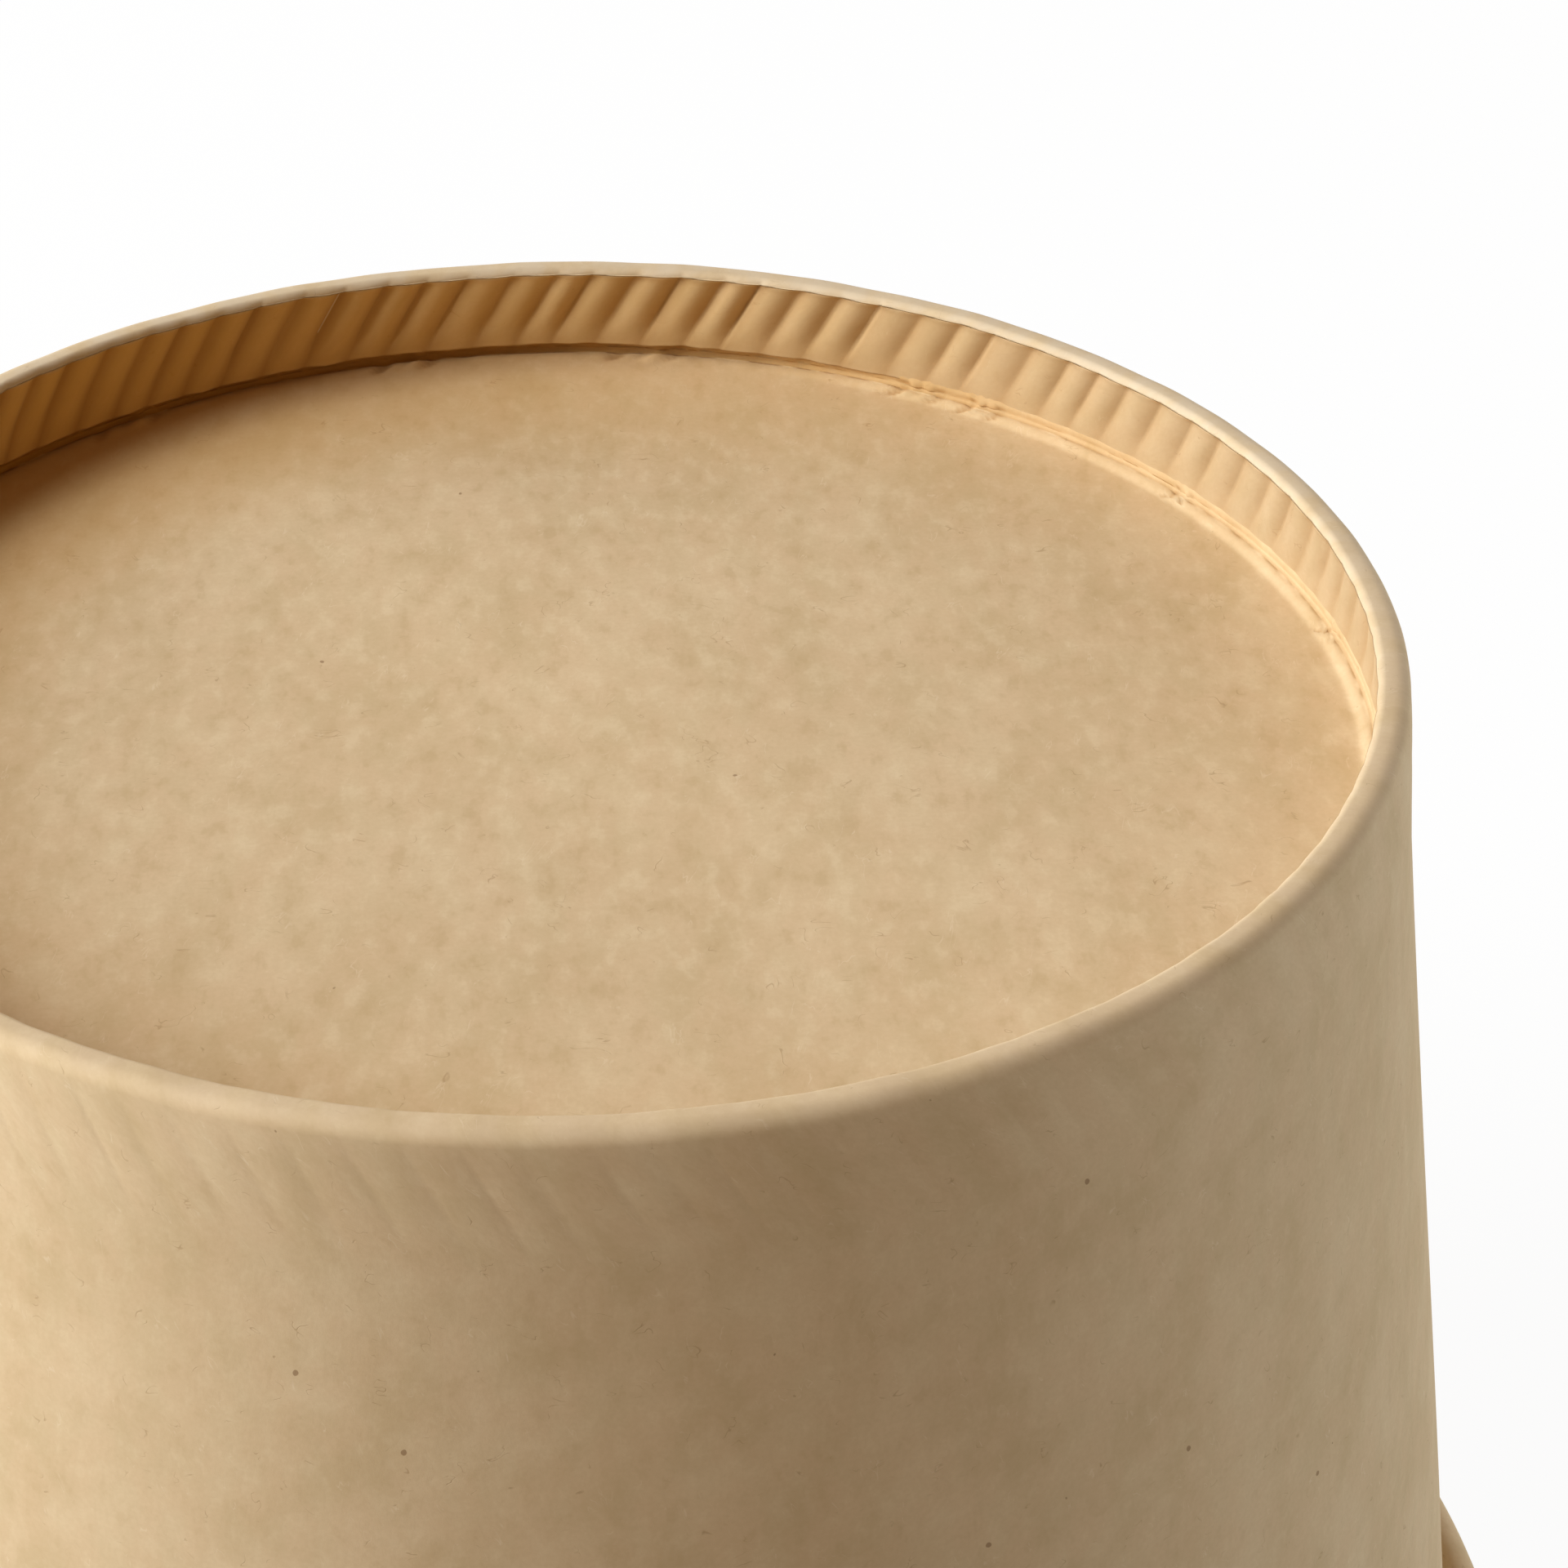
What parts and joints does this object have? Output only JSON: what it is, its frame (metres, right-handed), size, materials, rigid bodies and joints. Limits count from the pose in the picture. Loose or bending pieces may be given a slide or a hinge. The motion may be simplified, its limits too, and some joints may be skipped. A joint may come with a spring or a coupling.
{
  "type": "paper soup container",
  "caption": "Round tapered paper soup container standing on its rolled mouth rim, base up, with a recessed bottom disc held by a folded and crimped flap.",
  "frame": {"origin": "centre of the mouth, on the surface that the rolled rim stands on", "axes": "+Z along the container's axis from the mouth up to the base; -X runs through the side seam"},
  "size_m": [0.0976, 0.0976, 0.0655],
  "materials": {
    "kraft_wall": "matte",
    "kraft_disc": "matte"
  },
  "bodies": {
    "root": {"side_wall": "kraft_wall", "bottom_disc": "kraft_disc"}
  },
  "joints": []
}
